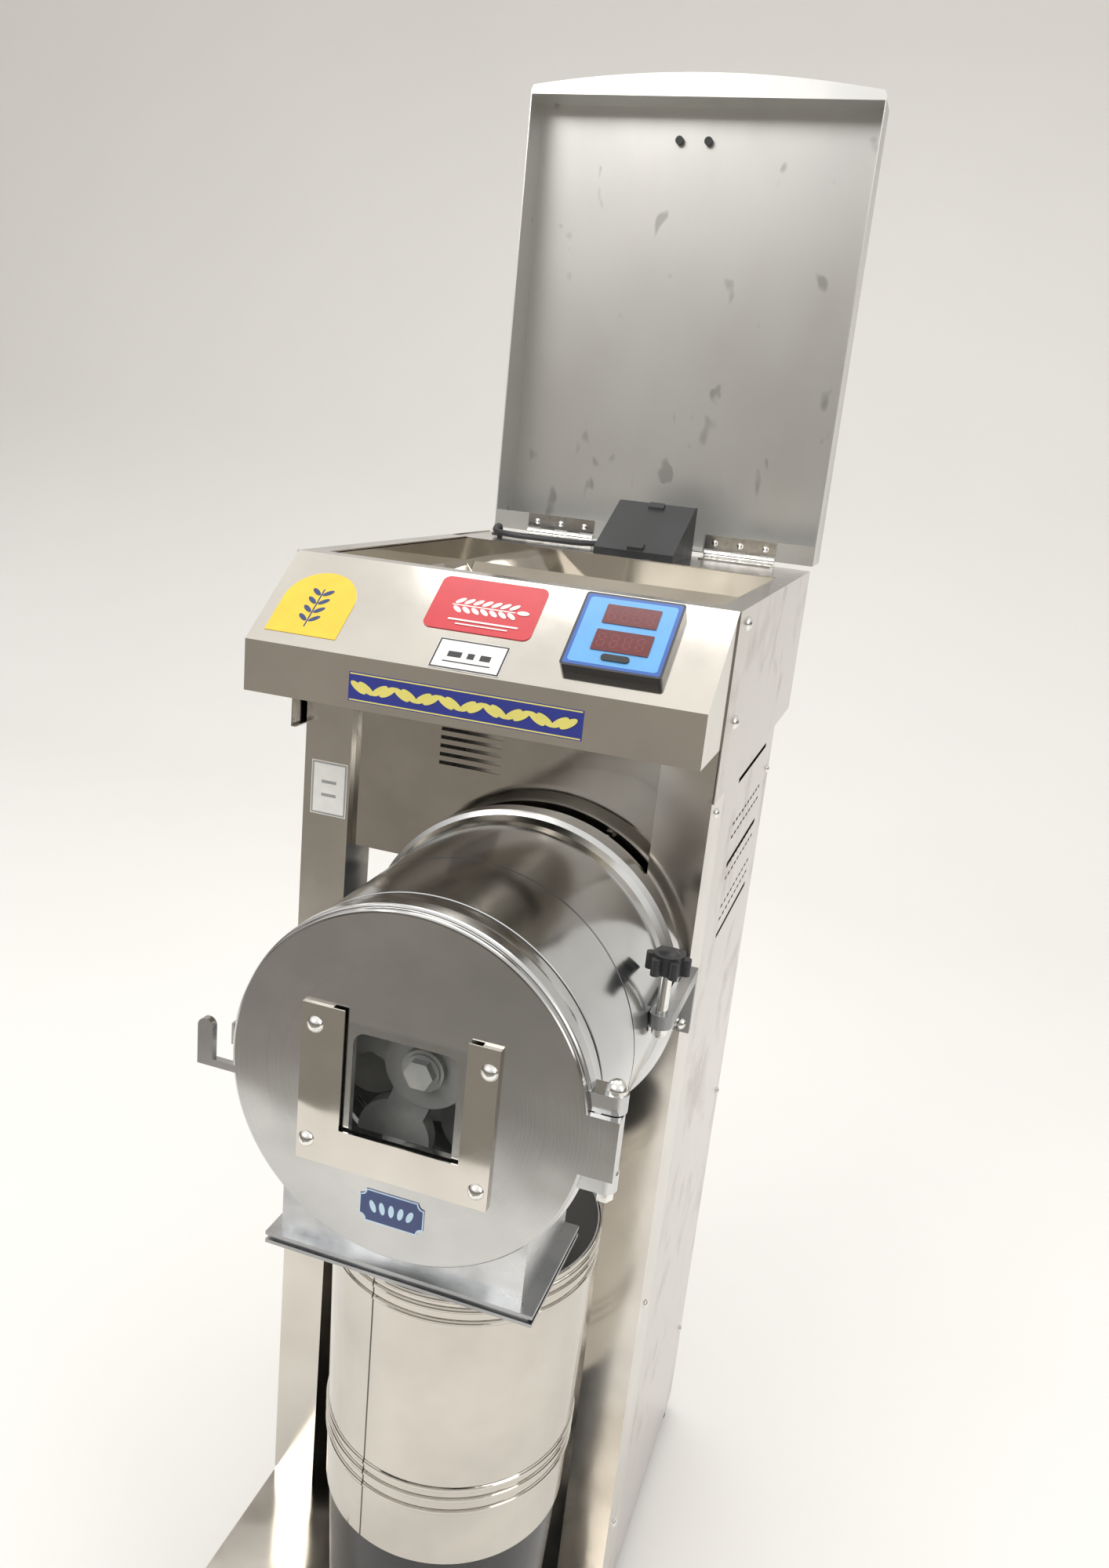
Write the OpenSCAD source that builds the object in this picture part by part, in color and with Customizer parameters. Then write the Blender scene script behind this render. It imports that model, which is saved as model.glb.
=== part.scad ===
// Hammer mill: a domestic three-horsepower pulverizer in a stainless cabinet.
// X is to the right, Y to the back, Z up. Modules are drawn from the cabinet's own
// datum: y = 0 on the front posts' faces, z = 0 at the side panels' lower edges.
// place() then sets the machine on its feet with the origin under its middle.

/* [Cabinet] */
// Width over the hopper box
cabinet_w = 400; // [396:1:404]
// Thickness of the stainless sheet
sheet = 1.2; // [1.0:0.1:1.5]
// Depth of the hopper box
box_depth = 466; // [462:1:470]
// Length of the lid from hinge to free edge
lid_length = 491; // [485:1:495]
// Height of the rubber feet below the tray
foot_h = 30; // [24:1:36]

/* [Mill] */
// Height of the rotor axis above the datum
axis_z = 780; // [778:1:782]
// Outer radius of the drum's shell
drum_r = 139.6; // [138.5:0.1:140.5]
// Radius of the door's disc
door_r = 139.5; // [139:0.5:140.5]
// Tip radius of the beaters
beater_r = 100; // [90:1:104]

/* [Container] */
// Outer radius of the flour container
can_r = 117; // [112:1:118]
// Height of the flour container
can_h = 286; // [270:1:290]

/* [Hidden] */
$fn = 64;
BIG = 600;
half_w = cabinet_w / 2;
post_x = half_w - 5;               // outer face of posts and side panels
post_w = 48;
post_y = 20;                       // front faces of the posts, behind the drum's flange
panel_x = post_x - sheet;          // outer face of the side panels
body_back = 405;                   // rear face of the lower body
tray_top = 82;
foot_x = 173.6;
foot_front = -211;
foot_back = 384.8;
box_z = 960;                       // underside of the hopper box
top_z = 1122;                      // rim of the hopper box
axis_x = 47;                       // the drum stands right of the middle
slope_y = 83;                      // the console's run and drop
slope_z = 69;
slope_a = atan2(slope_z, slope_y);
fascia_z = 1008.6;
deck_y = 345;
deck_z = top_z - 1;
hinge_y = 484;
hinge_z = deck_z + 5;
shell_in = drum_r - 8;             // bore of the drum
seam_y = -132;
lip_r = 141.5;
lip_y = -249;                      // face of the front lip
door_y = -255;                     // face of the door's disc
pin_x = 199;                       // door hinge pin
pin_y = -240;
knob_x = 194;                      // side clamp stud
knob_y = -80;
bolt_x = axis_x - 151.5;           // swing bolt
bolt_y = -212;
bolt_z = axis_z - 8;
shaft_r = 14;
motor_y = 90;
can_x = 50;
can_y = -95;
can_z = 302;
cord_r = 4;                        // the supply cord's radius, for its gland
gland_reach = 22;                  // how far the gland stands out of the left panel
knob_reach = 18.5;                 // radius over the star knob's lobes
handle_back = hinge_y + 79.5;      // rear of the lid handle
origin_x = (knob_x + knob_reach - panel_x - gland_reach) / 2;
origin_y = (handle_back + door_y - 8.4) / 2;
datum_z = foot_h - 12;

// Which sub-part to draw

steel = [0.74, 0.73, 0.70];
mirror_steel = [0.80, 0.78, 0.74];
cast = [0.66, 0.67, 0.67];
dark = [0.10, 0.10, 0.11];
grey = [0.45, 0.46, 0.47];

// Centre line of the cable on the deck, from the box to the grommet
CABLE = [[-33, 408, 1128], [-60, 402, 1126], [-100, 396, 1126], [-140, 396, 1126],
         [-166, 404, 1127], [-173, 420, 1131], [-174, 433, 1131], [-174, 436, 1126],
         [-174, 436, 1112]];

// ---------------------------------------------------------------- shared shapes
module place() translate([-origin_x, -origin_y, datum_z]) children();

// A box from its low corner to its high corner.
module span(low, high) translate(low) cube(high - low);

// A cylinder along Y from y0 to y1 about (x, z).
module rod_y(x, z, y0, y1, r) translate([x, y0, z]) rotate([-90, 0, 0]) cylinder(r = r, h = y1 - y0);

// A solid of revolution about the drum's axis; points are [radius, y].
module turned(points) translate([axis_x, 0, axis_z]) rotate([-90, 0, 0])
    rotate_extrude($fn = 96) polygon(points);

// A domed head on +Z.
module dome(r, h) {
    ball = (r * r + h * h) / (2 * h);
    difference() {
        translate([0, 0, h - ball]) sphere(r = ball, $fn = 40);
        translate([-BIG, -BIG, -2 * BIG]) cube(2 * BIG);
    }
}

// A profile in the YZ plane, extruded along X.
module along_x(x0, x1, points)
    translate([x0, 0, 0]) rotate([90, 0, 90]) linear_extrude(x1 - x0) polygon(points);

// Local frame of the console's slope: x right, y up the slope, z out of the sheet.
module on_slope(lift = 0) translate([0, 0, top_z]) rotate([slope_a, 0, 0])
    translate([0, 0, lift]) children();

// A flat plate with round corners in the XY plane.
module card(x0, x1, y0, y1, t, r) linear_extrude(t) {
    translate([x0 + r, y0]) square([x1 - x0 - 2 * r, y1 - y0]);
    translate([x0, y0 + r]) square([x1 - x0, y1 - y0 - 2 * r]);
    for (x = [x0 + r, x1 - r], y = [y0 + r, y1 - r]) translate([x, y]) circle(r, $fn = 24);
}

function unit(v) = v / norm(v);
function heading(p, i) = unit(p[min(i + 1, len(p) - 1)] - p[max(i - 1, 0)]);
// Catmull-Rom point of a route at parameter t.
function route_at(p, t) = let (n = len(p), i = min(floor(t), n - 2), u = t - i,
    a = p[max(i - 1, 0)], b = p[i], c = p[i + 1], d = p[min(i + 2, n - 1)])
    0.5 * (2 * b + (c - a) * u + (2 * a - 5 * b + 4 * c - d) * u * u
           + (3 * b - a - 3 * c + d) * u * u * u);
function smooth(p, steps) = [for (k = [0:(len(p) - 1) * steps]) route_at(p, k / steps)];

// A tube swept along a route, round in section.
module swept(route, r, sides, steps) {
    path = smooth(route, steps);
    n = len(path);
    side_axis = [for (i = [0:n - 1]) let (d = heading(path, i))
        unit(cross(d, abs(d.z) > 0.9 ? [0, 1, 0] : [0, 0, 1]))];
    ring = [for (i = [0:n - 1]) let (d = heading(path, i), a = side_axis[i], b = cross(d, a))
        for (k = [0:sides - 1]) path[i] + r * (cos(k * 360 / sides) * a + sin(k * 360 / sides) * b)];
    walls = [for (i = [0:n - 2], k = [0:sides - 1]) let (m = (k + 1) % sides)
        [i * sides + k, (i + 1) * sides + k, (i + 1) * sides + m, i * sides + m]];
    ends = [[for (k = [0:sides - 1]) k], [for (k = [sides - 1:-1:0]) (n - 1) * sides + k]];
    polyhedron(points = ring, faces = concat(walls, ends), convexity = 4);
}

// ---------------------------------------------------------------- cabinet
module at_feet() for (x = [-foot_x, foot_x], y = [foot_front, foot_back]) translate([x, y, 12 - foot_h])
    children();

module base_tray() color(mirror_steel) {
    tray_x = panel_x - sheet;
    front_y = -230;
    back_y = body_back - sheet;
    ledge = 38;                    // folded in underneath, it carries the feet
    difference() {
        span([-tray_x, front_y, 12], [tray_x, back_y, tray_top]);
        span([-tray_x + sheet, front_y + sheet, 12 + sheet], [tray_x - sheet, back_y - sheet, tray_top - sheet]);
        span([-tray_x + ledge, front_y + ledge, 0], [tray_x - ledge, back_y - ledge, 40]);
        at_feet() cylinder(r = 4.05, h = 2 * foot_h);
    }
}

module rubber_feet() color(dark) at_feet() {
    cylinder(r1 = 19, r2 = 17, h = foot_h);
    translate([0, 0, foot_h + sheet]) cylinder(r = 8, h = 5, $fn = 6);
    translate([0, 0, foot_h]) cylinder(r = 4, h = 3);
}

// A front post folded as a channel; side is -1 for the left one.
module post(side) color(mirror_steel) {
    outer = side * post_x;
    inner = side * (post_x - post_w);
    lo = min(outer, inner);
    hi = max(outer, inner);
    span([lo, post_y, tray_top], [hi, post_y + sheet, fascia_z]);
    span([side < 0 ? lo : hi - sheet, post_y, tray_top], [side < 0 ? lo + sheet : hi, 84, fascia_z]);
    span([side < 0 ? hi - sheet : lo, post_y, tray_top], [side < 0 ? hi : lo + sheet, 70, fascia_z]);
}
module left_post() post(-1);
module right_post() post(1);

// Ventilation cut in a side panel: three long slots with short dashes between them.
module vents() {
    for (z = [770, 847, 935]) translate([175, z]) square([175, 5]);
    for (row = [0:2], line = [0, 1]) for (k = [0:9])
        translate([178 + k * 17.4, 788 + row * 44 + line * 14]) square([11, 3]);
}

module side_panel(side, open) color(steel) translate([side < 0 ? -panel_x : panel_x - sheet, 0, 0])
    rotate([90, 0, 90]) linear_extrude(sheet) difference() {
        translate([50, 0]) square([body_back - 50, box_z]);
        if (open) translate([120, 700]) square([180, 200]);
        if (!open) vents();
    }
module left_side_panel() difference() {
    side_panel(-1, true);
    color(steel) translate([-panel_x - 2, 130, 330]) rotate([0, 90, 0]) cylinder(r = 9, h = 6);
}
module right_side_panel() side_panel(1, false);

module rear_panel() color(steel) translate([0, body_back, 0]) rotate([90, 0, 0])
    linear_extrude(sheet) difference() {
        translate([-panel_x + sheet, 0]) square([2 * (panel_x - sheet), box_z]);
        for (k = [0:9], z = [640, 780]) translate([-100, z + k * 11]) square([200, 4]);
    }

module upper_shell() color(steel) difference() {
    span([-half_w, 0, box_z], [half_w, box_depth, top_z]);
    span([-half_w + sheet, -1, box_z + sheet], [half_w - sheet, box_depth - sheet, top_z - sheet]);
    span([-post_x + 12, -1, box_z - 1], [post_x - 12, body_back - 12, box_z + 2]);
    span([-post_x - 0.1, -1, box_z - 1], [post_x + 0.1, 84.1, box_z + 2]);
    span([-180, 20, top_z - 2], [180, box_depth - sheet, top_z + 1]);
    span([-half_w + sheet, deck_y, deck_z - sheet], [half_w - sheet, box_depth + 1, top_z + 1]);
}

module console_shell() color(mirror_steel) {
    nose = [[0, top_z], [-slope_y, top_z - slope_z], [-slope_y, fascia_z],
            [post_y - 1, fascia_z], [post_y - 1, fascia_z + sheet], [-slope_y + sheet, fascia_z + sheet],
            [-slope_y + sheet, top_z - slope_z - 0.6 * sheet], [0, top_z - 1.3 * sheet]];
    cheek_x = half_w - sheet;
    along_x(-cheek_x, cheek_x, nose);
    for (x = [-cheek_x, cheek_x - sheet])
        along_x(x, x + sheet, [[0, top_z], [-slope_y, top_z - slope_z], [-slope_y, fascia_z],
                               [70, fascia_z], [70, top_z - sheet], [0, top_z - sheet]]);
}

module front_panel() color(mirror_steel) translate([0, 30 + sheet, 0]) rotate([90, 0, 0])
    linear_extrude(sheet) difference() {
        translate([post_w - post_x + 0.1, 846]) square([2 * (post_x - post_w) - 0.2, 162]);
        translate([9, 840]) square([76, 69]);
        for (k = [0:5]) translate([-62, 942 + k * 8]) square([60, 3.5]);
    }

module rear_deck() color(steel) difference() {
    span([-half_w + sheet, deck_y, deck_z - sheet], [half_w - sheet, hinge_y - 6, deck_z]);
    translate([-174, 436, deck_z - 5]) cylinder(r = 7, h = 10);
}

// Outline of the hopper's inside, grown by t on every side.
module funnel(t) {
    intersection() {
        along_x(-BIG, BIG, [[62 - t, 980 + t], [132 + t, 980 + t], [132 + t, 990], [deck_y + t, 1095],
                            [deck_y + t, 1140 - t], [20 - t, 1140 - t], [20 - t, 1095], [62 - t, 990]]);
        translate([0, BIG, 0]) rotate([90, 0, 0]) linear_extrude(2 * BIG)
            polygon([[12 - t, 970], [82 + t, 970], [82 + t, 990], [180 + t, 1095], [180 + t, 1140],
                     [-180 - t, 1140], [-180 - t, 1095], [12 - t, 990]]);
    }
}
module hopper() color(mirror_steel) difference() {
    intersection() {
        funnel(sheet);
        span([-BIG, -BIG, 989], [BIG, BIG, deck_z - sheet]);
    }
    funnel(0);
}

module feed_chute() color(steel) difference() {
    along_x(11, 83, [[61, 985], [133, 985], [133, 900], [-2, 816], [-2, 882], [61, 929]]);
    along_x(11 + sheet, 83 - sheet, [[62.2, 990], [131.8, 990], [131.8, 900.7], [-6, 815], [-6, 877.5], [62.2, 928.4]]);
}

module feed_gate() color(steel) {
    span([11, 61, 986.2], [83, 150, 987.7]);
    span([27, 150, 972], [67, 151.5, 987.7]);
}

module panel_bolts() color(steel) {
    for (side = [-1, 1]) {
        for (p = [[43, 1108], [49, 1022]]) translate([side * half_w, p[0], p[1]])
            rotate([0, side * 90, 0]) dome(6.5, 4);
        for (z = [938, 740, 420, 140]) translate([side * post_x, 52, z])
            rotate([0, side * 90, 0]) dome(5, 3);
        for (z = [900, 480, 120]) translate([side * panel_x, 392, z])
            rotate([0, side * 90, 0]) dome(5, 3);
    }
}

// ---------------------------------------------------------------- hinges and deck
// Knuckles of one leaf; first is the index of its first knuckle of five.
module knuckles(x0, first, bored) for (k = [first:2:4])
    translate([x0 + k * 17 + 0.3, hinge_y, hinge_z]) rotate([0, 90, 0]) difference() {
        cylinder(r = 4.6, h = 16.4, $fn = 32);
        if (bored) translate([0, 0, -1]) cylinder(r = 1.85, h = 20, $fn = 32);
    }

module deck_hinge_leaves() color(steel) for (x0 = [-155, 70]) {
    difference() {
        span([x0, hinge_y - 32, deck_z], [x0 + 85, hinge_y, deck_z + 1.5]);
        for (k = [1, 3]) span([x0 + k * 17 - 0.3, hinge_y - 6, deck_z - 1], [x0 + k * 17 + 17.3, hinge_y + 6, deck_z + 8]);
    }
    knuckles(x0, 0, false);
    translate([x0, hinge_y, hinge_z]) rotate([0, 90, 0]) cylinder(r = 1.8, h = 85, $fn = 32);
    for (x = [12, 42.5, 73]) translate([x0 + x, hinge_y - 22, deck_z + 1.5]) dome(3.6, 1.2);
}

module junction_box() color(dark) {
    difference() {
        along_x(-32, 60, [[360, deck_z], [360, deck_z + 7], [452, deck_z + 57], [462, deck_z + 57], [462, deck_z]]);
        along_x(-29.5, 57.5, [[366, deck_z - 1], [366, deck_z + 6], [452, deck_z + 53], [459.5, deck_z + 53], [459.5, deck_z - 1]]);
    }
    for (p = [[362, 8], [440, 50.3]]) along_x(6, 24, [[p[0], deck_z + p[1] - 3], [p[0], deck_z + p[1] + 3.2],
        [p[0] + 9, deck_z + p[1] + 8.2], [p[0] + 9, deck_z + p[1] + 1]]);
}
module box_cable() color(dark) swept(CABLE, 3.5, 8, 5);
module deck_grommet() color(dark) translate([-174, 436, deck_z - 3]) difference() {
    union() {
        cylinder(r = 6.9, h = 3);
        translate([0, 0, 3]) cylinder(r = 10, h = 1.5);
    }
    translate([0, 0, -1]) cylinder(r = 4.4, h = 7);
}

// ---------------------------------------------------------------- console pieces
module display_housing() color([0.10, 0.25, 0.55]) on_slope()
    card(75, 158, -89, -9, 9, 3);
module display_windows() color([0.35, 0.04, 0.05]) on_slope(9) {
    card(96, 141, -41, -20.5, 0.8, 1);
    card(95, 142, -70, -48, 0.8, 1);
}
module display_nameplate() color(dark) on_slope(9) card(106, 129, -79.5, -73, 1.2, 3);
module energy_label() color([0.92, 0.80, 0.15]) on_slope() linear_extrude(0.5) {
    translate([-187, -95]) square([67, 41]);
    intersection() {
        translate([-153.5, -56]) circle(33.5, $fn = 48);
        translate([-190, -56]) square([80, 40]);
    }
}
module badge_plate() color([0.78, 0.10, 0.12]) on_slope() card(-54, 41, -65, -6, 0.8, 7);
module rating_plate() color([0.92, 0.92, 0.90]) on_slope() card(-32, 29, -106, -74, 0.6, 1);
module fascia_strip() color([0.12, 0.18, 0.50]) span([-100, -slope_y - 0.5, 1015.5], [103, -slope_y, 1040]);
module post_label() color([0.90, 0.88, 0.84]) span([-187, post_y - 0.5, 873.5], [-149.5, post_y, 926.5]);

// ---------------------------------------------------------------- drive
module motor_body() color([0.30, 0.34, 0.38]) difference() {
    union() {
        rod_y(axis_x, axis_z, motor_y, 290, 80);
        for (k = [0:23]) translate([axis_x, 100, axis_z]) rotate([0, k * 15, 0]) translate([-1.5, 0, 78]) cube([3, 180, 7]);
        for (x = [-70, 70]) span([axis_x + x - 22, 110, axis_z - 96], [axis_x + x + 22, 270, axis_z - 50]);
    }
    rod_y(axis_x, axis_z, motor_y - 1, 291, 16);
    span([axis_x - 48, 100, axis_z - 97], [axis_x + 48, 280, axis_z - 84]);
}
module motor_end_bells() color([0.26, 0.30, 0.34]) {
    difference() {
        rod_y(axis_x, axis_z, 74, motor_y, 78);
        rod_y(axis_x, axis_z, 73, 91, shaft_r + 0.06);
    }
    difference() {
        rod_y(axis_x, axis_z, 290, 350, 82);
        rod_y(axis_x, axis_z, 302, 347.5, 79);
        rod_y(axis_x, axis_z, 289, 303, shaft_r + 0.06);
        for (r = [26, 40, 54, 68]) difference() {
            rod_y(axis_x, axis_z, 346, 351, r + 5);
            rod_y(axis_x, axis_z, 345, 352, r);
            for (a = [0, 90]) translate([axis_x, 348, axis_z]) rotate([0, a, 0]) cube([180, 10, 8], center = true);
        }
    }
}
module motor_terminal_box() color([0.24, 0.28, 0.32]) {
    difference() {
        span([axis_x - 40, 200, axis_z + 78], [axis_x + 40, 270, axis_z + 112]);
        rod_y(axis_x, axis_z, 190, 280, 85.1);
    }
    span([axis_x - 44, 196, axis_z + 112], [axis_x + 44, 274, axis_z + 116]);
}
module motor_rails() color(grey) for (y = [120, 230]) {
    span([-panel_x + sheet, y, axis_z - 126], [panel_x - sheet, y + 4, axis_z - 96]);
    span([-panel_x + sheet, y, axis_z - 100], [panel_x - sheet, y + 30, axis_z - 96]);
}
module housing_crossbar() color(steel) {
    reach = post_x - post_w;
    span([-reach, post_y, axis_z - 130], [reach, post_y + 6, axis_z - 50]);
    for (x = [-reach, reach - 4]) span([x, post_y, axis_z - 130], [x + 4, post_y + 28, axis_z - 50]);
}

// ---------------------------------------------------------------- drum
module rear_housing() color(cast) turned([[shell_in, seam_y], [drum_r - 0.9, seam_y],
    [drum_r, seam_y + 1], [drum_r, -34], [drum_r + 1.5, -26], [drum_r + 5, -20], [148.8, -17],
    [148.8, -1.5], [147.3, 0], [142, 0], [142, post_y], [130, post_y], [130, -14], [shell_in, -14]]);

// Outer profile of the front half, also used to trim the duct that meets it.
function front_profile(grow) = concat(
    [[drum_r - 0.9 + grow, seam_y], [drum_r + grow, seam_y - 1], [drum_r + grow, -216], [drum_r - 1.2 + grow, -218], [drum_r + grow, -220]],
    [for (a = [0:15:90]) [drum_r + (lip_r - drum_r) * (1 - cos(a)) + grow, -220 - 16 * sin(a)]],
    [for (a = [0:30:90]) [lip_r - 3 + 3 * cos(a) + grow, lip_y + 3 - 3 * sin(a)]]);

module front_housing() color(cast) {
    lug_z = 24;
    difference() {
        union() {
            turned(concat([[shell_in, lip_y], [shell_in, seam_y]], front_profile(0)));
            for (z = [lug_z, -lug_z - 14]) translate([0, 0, axis_z + z]) linear_extrude(14) {
                translate([pin_x, pin_y]) circle(9, $fn = 40);
                translate([axis_x + 128, pin_y - 9]) square([pin_x - axis_x - 128, 18]);
            }
            span([bolt_x - 8, bolt_y - 12, bolt_z - 9], [axis_x - 124, bolt_y + 12, bolt_z + 9]);
        }
        rod_y(axis_x, axis_z, lip_y - 5, seam_y + 1, shell_in);
        translate([pin_x, pin_y, axis_z - lug_z]) cylinder(r = 10, h = 2 * lug_z);
        span([pin_x - 8, lip_y - 1, axis_z - lug_z], [pin_x + 10, pin_y, axis_z + lug_z]);
        translate([pin_x, pin_y, axis_z - 60]) cylinder(r = 4, h = 120, $fn = 40);
        span([bolt_x - 4.5, bolt_y - 14, bolt_z - 12], [bolt_x + 4.5, bolt_y + 14, bolt_z + 12]);
        span([bolt_x - 6, lip_y - 2, bolt_z - 10], [bolt_x + 5.5, bolt_y - 10, bolt_z + 12]);
        translate([bolt_x - 20, bolt_y, bolt_z]) rotate([0, 90, 0]) cylinder(r = 3, h = 28, $fn = 32);
        span([axis_x - 92, -226, axis_z - 160], [axis_x + 90, -142, axis_z - 60]);
    }
    translate([bolt_x - 8, bolt_y, bolt_z]) rotate([0, 90, 0]) cylinder(r = 3, h = 18, $fn = 32);
}

module back_plate() color(cast) difference() {
    rod_y(axis_x, axis_z, -14, -2, 130);
    rod_y(axis_x, axis_z, -20, 5, 17);
    span([12, -20, 819], [82, 5, 878]);
}

module screen() color(steel) difference() {
    intersection() {
        difference() {
            rod_y(axis_x, axis_z, -224, -144, 113.2);
            rod_y(axis_x, axis_z, -225, -143, 112);
        }
        span([axis_x - 91, -230, axis_z - 130], [axis_x + 89, -140, axis_z - 62]);
    }
    for (a = [-42:14:42], y = [-214, -196, -178, -160]) translate([axis_x, y, axis_z])
        rotate([0, a, 0]) translate([-8, 0, -120]) cube([16, 6, 30]);
}

module discharge_duct() color(cast) {
    low = 622;
    difference() {
        span([-55, -235.5, low], [147, -130, 760]);
        span([-52, -232.5, low - 1], [144, -133, 761]);
        turned(concat([[0, lip_y - 6], [0, seam_y]], front_profile(0.05), [[lip_r, lip_y - 6]]));
        rod_y(axis_x, axis_z, seam_y - 1, -100, drum_r + 0.05);
    }
    for (x = [axis_x - 95, axis_x + 91]) span([x, -232.5, axis_z - 70], [x + 3, -142, axis_z - 62]);
}

module outlet_flange() color(cast) difference() {
    span([-64, -245, 612], [159, -129, 622]);
    span([-50, -231, 600], [142, -137, 630]);
    span([-70, -250, 615], [170, -241, 619]);
    span([-70, -250, 615], [-60, -120, 619]);
    span([155, -250, 615], [170, -120, 619]);
}

module door_hinge_pin() color(steel) translate([pin_x, pin_y, axis_z - 42]) {
    cylinder(r = 3.95, h = 84, $fn = 40);
    translate([0, 0, 80]) cylinder(r = 8, h = 3);
    translate([0, 0, 83]) dome(7.5, 6);
    translate([0, 0, -4]) cylinder(r = 7, h = 7.9, $fn = 6);
}

module side_bracket() color(cast) difference() {
    union() {
        translate([0, 0, 792]) linear_extrude(12) {
            translate([knob_x, knob_y]) circle(10, $fn = 40);
            translate([knob_x - 3, knob_y]) square([13, post_y - knob_y - 4]);
        }
        span([knob_x - 6, post_y - 6, 742], [knob_x + 10, post_y, 804]);
    }
    translate([knob_x, knob_y, 780]) cylinder(r = 5.05, h = 40, $fn = 40);
    turned([[0, -120], [drum_r + 0.4, -120], [drum_r + 0.4, -40], [drum_r + 2, -27],
            [drum_r + 5.4, -20.6], [149.2, -17.6], [149.2, 0.4], [142.4, 0.4],
            [142.4, post_y + 1], [0, post_y + 1]]);
}

// Nuts behind the drum's ring, each at its angle and on its own seat, and the bracket's screw.
module housing_bolts() color(steel) {
    for (p = [[25, post_y], [75, post_y + sheet], [125, post_y + sheet], [225, post_y + 6],
              [275, post_y], [325, post_y]])
        translate([axis_x + 136 * sin(p[0]), p[1], axis_z + 136 * cos(p[0])])
            rotate([-90, 0, 0]) cylinder(r = 5, h = 5, $fn = 6);
    translate([knob_x + 1, post_y - 6, 750]) rotate([90, 0, 0]) dome(6, 4.5);
}

module container_stand() color(dark) translate([can_x, can_y, tray_top]) difference() {
    cylinder(r1 = 98, r2 = 108, h = can_z - tray_top - 0.4, $fn = 96);
    translate([0, 0, -1]) cylinder(r1 = 94, r2 = 104, h = can_z - tray_top - 3, $fn = 96);
    translate([0, 0, can_z - tray_top - 10]) cylinder(r = 80, h = 20);
}

module cord_gland() color(dark) translate([-panel_x - gland_reach, 130, 330]) rotate([0, 90, 0]) difference() {
    union() {
        cylinder(r1 = 7, r2 = 9, h = 12);
        translate([0, 0, 12]) cylinder(r = 13, h = 10, $fn = 6);
        translate([0, 0, 22]) cylinder(r = 8.9, h = 6);
        translate([0, 0, 22 + sheet]) cylinder(r = 13, h = 5, $fn = 6);
    }
    translate([0, 0, -1]) cylinder(r = cord_r + 0.1, h = 40);
}

// ---------------------------------------------------------------- lid (open, upright)
// Room in the lid's sheet for the knuckles of both hinges.
module hinge_relief() for (x0 = [-155, 70]) translate([x0 - 0.5, hinge_y, hinge_z])
    rotate([0, 90, 0]) cylinder(r = 5, h = 86);
module lid_shell() color(steel) {
    z0 = hinge_z;
    z1 = hinge_z + lid_length;
    deep = 64;
    shallow = 44;
    lean = deep - shallow;
    front = hinge_y;
    outer = [[front, z0], [front + deep, z0], [front + shallow, z1], [front, z1]];
    inner = [[front - 1, z0 + sheet], [front + deep - sheet, z0 + sheet],
             [front + shallow - sheet, z1 - sheet], [front - 1, z1 - sheet]];
    difference() {
        along_x(-half_w, half_w, outer);
        along_x(-half_w + sheet, half_w - sheet, inner);
        for (x = [-29, 5]) rod_y(x, z1 - 36, front, front + deep, 2.6);
        hinge_relief();
    }
    // Return along the hinge side, notched for the junction box
    difference() {
        span([-half_w + sheet, front, z0], [half_w - sheet, front + sheet, z0 + 22]);
        span([-40, front - 1, z0 - 1], [68, front + 2, z0 + 30]);
        hinge_relief();
    }
    // Bowed brim along the free edge
    bow = 23;
    end_lip = 8;
    brim_r = (half_w * half_w + pow(bow - end_lip, 2)) / (2 * (bow - end_lip));
    translate([0, front + sheet, 0]) rotate([90, 0, 0]) linear_extrude(sheet) intersection() {
        translate([0, z1 + bow - brim_r]) circle(brim_r, $fn = 360);
        union() {
            translate([-half_w, z1 - sheet]) square([2 * half_w, 5]);
            translate([-half_w + 14, z1]) square([2 * half_w - 28, bow + 1]);
            for (x = [-half_w + 14, half_w - 14]) translate([x, z1]) circle(14, $fn = 40);
        }
        translate([-half_w, z1 - sheet]) square([2 * half_w, bow + 10]);
    }
}
module lid_hinge_leaves() color(steel) for (x0 = [-155, 70]) {
    difference() {
        span([x0, hinge_y - 1.5, hinge_z], [x0 + 85, hinge_y, hinge_z + 22]);
        for (k = [0, 2, 4]) span([x0 + k * 17 - 0.3, hinge_y - 7, hinge_z - 6], [x0 + k * 17 + 17.3, hinge_y + 7, hinge_z + 6]);
        translate([x0 - 1, hinge_y, hinge_z]) rotate([0, 90, 0]) cylinder(r = 1.85, h = 90, $fn = 32);
    }
    knuckles(x0, 1, true);
    for (x = [12, 42.5, 73]) translate([x0 + x, hinge_y - 1.5, hinge_z + 13]) rotate([90, 0, 0]) dome(3.6, 1.2);
}
module lid_handle() color(dark) {
    base_y = hinge_y + 44 + 1.8;
    z = hinge_z + lid_length - 36;
    for (x = [-29, 5]) {
        rod_y(x, z, base_y - 6, base_y + 2, 2.5);
        rod_y(x, z, hinge_y + 38, base_y - 3.4, 4.6);
        rod_y(x, z, base_y, base_y + 22, 6);
    }
    translate([-46, base_y + 22, z - 9]) cube([68, 12, 18]);
}

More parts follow.
